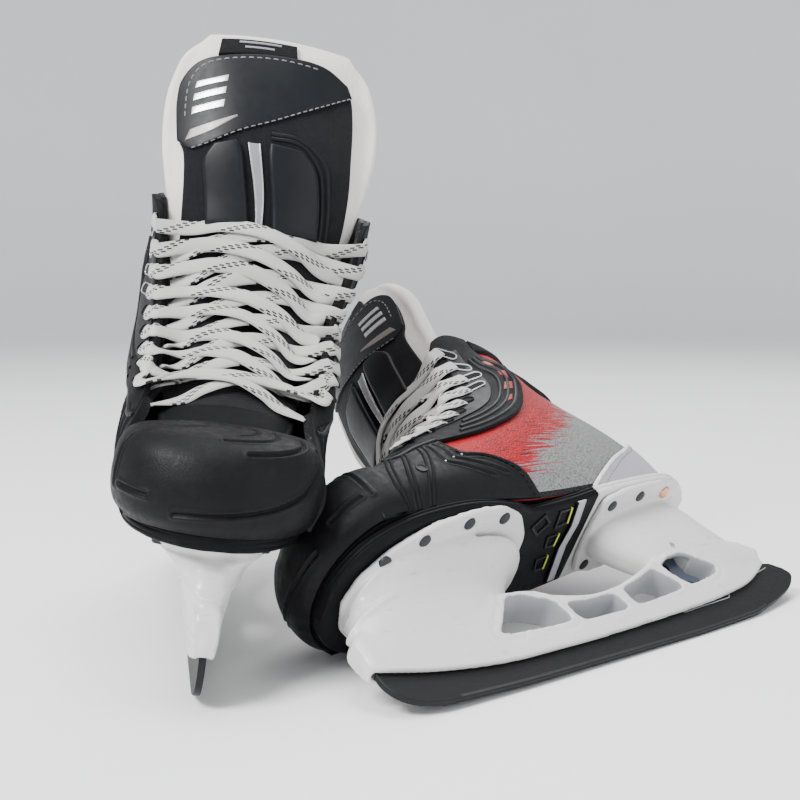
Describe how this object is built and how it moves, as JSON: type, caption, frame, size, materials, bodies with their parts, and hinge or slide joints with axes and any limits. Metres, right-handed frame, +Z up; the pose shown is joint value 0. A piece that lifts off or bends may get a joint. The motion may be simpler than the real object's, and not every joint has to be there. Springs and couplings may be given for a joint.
{
  "type": "hockey skates",
  "caption": "Pair of laced ice hockey skates, one standing and one lying on its side: hard boot, felt tongue, white blade holder and dark steel runner.",
  "frame": {"origin": "middle of the pair's bounding box in plan, on the ground under it", "axes": "+Z up from the ground; +Y away from the viewer, so the standing skate's toe points nearly along -Y; +X towards the lying skate, along the pair's longest extent"},
  "size_m": [0.3588, 0.329, 0.2974],
  "materials": {
    "right_ankle_liner": "padded lining",
    "right_facing_lateral": "satin moulded plastic",
    "right_facing_medial": "satin moulded plastic",
    "right_footbed": "matte grey",
    "right_heel_counter": "satin silver plastic",
    "right_heel_rivet_lateral": "copper-coloured rivet",
    "right_heel_rivet_medial": "copper-coloured rivet",
    "right_holder": "satin white plastic",
    "right_lace": "flat woven lace",
    "right_outsole": "satin moulded plastic",
    "right_outsole_heel": "satin white plastic",
    "right_overlay_lateral": "satin moulded plastic",
    "right_overlay_medial": "satin moulded plastic",
    "right_quarter_shell": "printed composite shell",
    "right_runner": "dark coated steel",
    "right_tendon_guard": "satin moulded plastic",
    "right_tendon_guard_base": "satin moulded plastic",
    "right_toe_cap": "satin moulded plastic",
    "right_tongue_cover": "coated fabric",
    "right_tongue_cover_lower": "coated fabric",
    "right_tongue_felt": "thick felt",
    "right_tongue_felt_lower": "thick felt",
    "right_tongue_label": "coated fabric",
    "right_tongue_pad_lateral": "satin moulded plastic",
    "right_tongue_pad_medial": "satin moulded plastic",
    "right_tongue_plate": "satin moulded plastic",
    "right_tongue_spine": "matte grey",
    "right_trigger": "dark blue-grey plastic",
    "right_trigger_pin": "bright steel",
    "right_trigger_spring": "bright steel",
    "left_ankle_liner": "padded lining",
    "left_facing_lateral": "satin moulded plastic",
    "left_facing_medial": "satin moulded plastic",
    "left_footbed": "matte grey",
    "left_heel_counter": "satin silver plastic",
    "left_heel_rivet_lateral": "copper-coloured rivet",
    "left_heel_rivet_medial": "copper-coloured rivet",
    "left_holder": "satin white plastic",
    "left_lace": "flat woven lace",
    "left_outsole": "satin moulded plastic",
    "left_outsole_heel": "satin white plastic",
    "left_overlay_lateral": "satin moulded plastic",
    "left_overlay_medial": "satin moulded plastic",
    "left_quarter_shell": "printed composite shell",
    "left_runner": "dark coated steel",
    "left_tendon_guard": "satin moulded plastic",
    "left_tendon_guard_base": "satin moulded plastic",
    "left_toe_cap": "satin moulded plastic",
    "left_tongue_cover": "coated fabric",
    "left_tongue_cover_lower": "coated fabric",
    "left_tongue_felt": "thick felt",
    "left_tongue_felt_lower": "thick felt",
    "left_tongue_label": "coated fabric",
    "left_tongue_pad_lateral": "satin moulded plastic",
    "left_tongue_pad_medial": "satin moulded plastic",
    "left_tongue_plate": "satin moulded plastic",
    "left_tongue_spine": "matte grey",
    "left_trigger": "dark blue-grey plastic",
    "left_trigger_pin": "bright steel",
    "left_trigger_spring": "bright steel"
  },
  "bodies": {
    "right_boot": {"right_ankle_liner": "right_ankle_liner", "right_facing_lateral": "right_facing_lateral", "right_facing_medial": "right_facing_medial", "right_footbed": "right_footbed", "right_heel_counter": "right_heel_counter", "right_heel_rivet_lateral": "right_heel_rivet_lateral", "right_heel_rivet_medial": "right_heel_rivet_medial", "right_holder": "right_holder", "right_lace": "right_lace", "right_outsole": "right_outsole", "right_outsole_heel": "right_outsole_heel", "right_overlay_lateral": "right_overlay_lateral", "right_overlay_medial": "right_overlay_medial", "right_quarter_shell": "right_quarter_shell", "right_tendon_guard_base": "right_tendon_guard_base", "right_toe_cap": "right_toe_cap", "right_tongue_cover_lower": "right_tongue_cover_lower", "right_tongue_felt_lower": "right_tongue_felt_lower", "right_trigger_pin": "right_trigger_pin", "right_trigger_spring": "right_trigger_spring"},
    "right_tongue": {"right_tongue_felt": "right_tongue_felt", "right_tongue_cover": "right_tongue_cover", "right_tongue_label": "right_tongue_label", "right_tongue_pad_lateral": "right_tongue_pad_lateral", "right_tongue_pad_medial": "right_tongue_pad_medial", "right_tongue_plate": "right_tongue_plate", "right_tongue_spine": "right_tongue_spine"},
    "right_tendon_guard_body": {"right_tendon_guard": "right_tendon_guard"},
    "right_runner_body": {"right_runner": "right_runner"},
    "right_trigger_body": {"right_trigger": "right_trigger"},
    "left_boot": {"left_ankle_liner": "left_ankle_liner", "left_facing_lateral": "left_facing_lateral", "left_facing_medial": "left_facing_medial", "left_footbed": "left_footbed", "left_heel_counter": "left_heel_counter", "left_heel_rivet_lateral": "left_heel_rivet_lateral", "left_heel_rivet_medial": "left_heel_rivet_medial", "left_holder": "left_holder", "left_lace": "left_lace", "left_outsole": "left_outsole", "left_outsole_heel": "left_outsole_heel", "left_overlay_lateral": "left_overlay_lateral", "left_overlay_medial": "left_overlay_medial", "left_quarter_shell": "left_quarter_shell", "left_tendon_guard_base": "left_tendon_guard_base", "left_toe_cap": "left_toe_cap", "left_tongue_cover_lower": "left_tongue_cover_lower", "left_tongue_felt_lower": "left_tongue_felt_lower", "left_trigger_pin": "left_trigger_pin", "left_trigger_spring": "left_trigger_spring"},
    "left_tongue": {"left_tongue_felt": "left_tongue_felt", "left_tongue_cover": "left_tongue_cover", "left_tongue_label": "left_tongue_label", "left_tongue_pad_lateral": "left_tongue_pad_lateral", "left_tongue_pad_medial": "left_tongue_pad_medial", "left_tongue_plate": "left_tongue_plate", "left_tongue_spine": "left_tongue_spine"},
    "left_tendon_guard_body": {"left_tendon_guard": "left_tendon_guard"},
    "left_runner_body": {"left_runner": "left_runner"},
    "left_trigger_body": {"left_trigger": "left_trigger"}
  },
  "joints": [
    {"name": "right_tongue_flex", "type": "hinge", "parent": "right_boot", "child": "right_tongue", "pos_m": [-0.11581, -0.02236, 0.20969], "axis": [0.9727, 0.1868, -0.138], "range_deg": [0, 60], "stiffness_Nm_per_rad": 0.4},
    {"name": "right_tendon_guard_flex", "type": "hinge", "parent": "right_boot", "child": "right_tendon_guard_body", "pos_m": [-0.13801, 0.08997, 0.20523], "axis": [-0.9727, -0.1868, 0.138], "range_deg": [0, 18], "stiffness_Nm_per_rad": 1.5},
    {"name": "right_runner_release", "type": "hinge", "parent": "right_boot", "child": "right_runner_body", "pos_m": [-0.1188, -0.14615, 0.02101], "axis": [-0.9727, -0.1868, 0.138], "range_deg": [0, 5]},
    {"name": "right_trigger_pull", "type": "hinge", "parent": "right_boot", "child": "right_trigger_body", "pos_m": [-0.15245, 0.05104, 0.05072], "axis": [-0.9727, -0.1868, 0.138], "range_deg": [0, 16], "stiffness_Nm_per_rad": 0.12},
    {"name": "left_tongue_flex", "type": "hinge", "parent": "left_boot", "child": "left_tongue", "pos_m": [-0.04796, 0.05783, 0.10285], "axis": [0.315, -0.3585, 0.8788], "range_deg": [0, 38], "stiffness_Nm_per_rad": 0.4},
    {"name": "left_tendon_guard_flex", "type": "hinge", "parent": "left_boot", "child": "left_tendon_guard_body", "pos_m": [0.04202, 0.12869, 0.0995], "axis": [-0.315, 0.3585, -0.8788], "range_deg": [0, 18], "stiffness_Nm_per_rad": 1.5},
    {"name": "left_runner_release", "type": "hinge", "parent": "left_boot", "child": "left_runner_body", "pos_m": [-0.03304, -0.14875, 0.01322], "axis": [-0.315, 0.3585, -0.8788], "range_deg": [0, 5]},
    {"name": "left_trigger_pull", "type": "hinge", "parent": "left_boot", "child": "left_trigger_body", "pos_m": [0.1028, 0.00056, 0.02544], "axis": [-0.315, 0.3585, -0.8788], "range_deg": [0, 16], "stiffness_Nm_per_rad": 0.12},
    {"name": "left_skate_apart", "type": "slide", "parent": "right_boot", "child": "left_boot", "axis": [1, 0, 0], "range_m": [0, 0.3]}
  ]
}
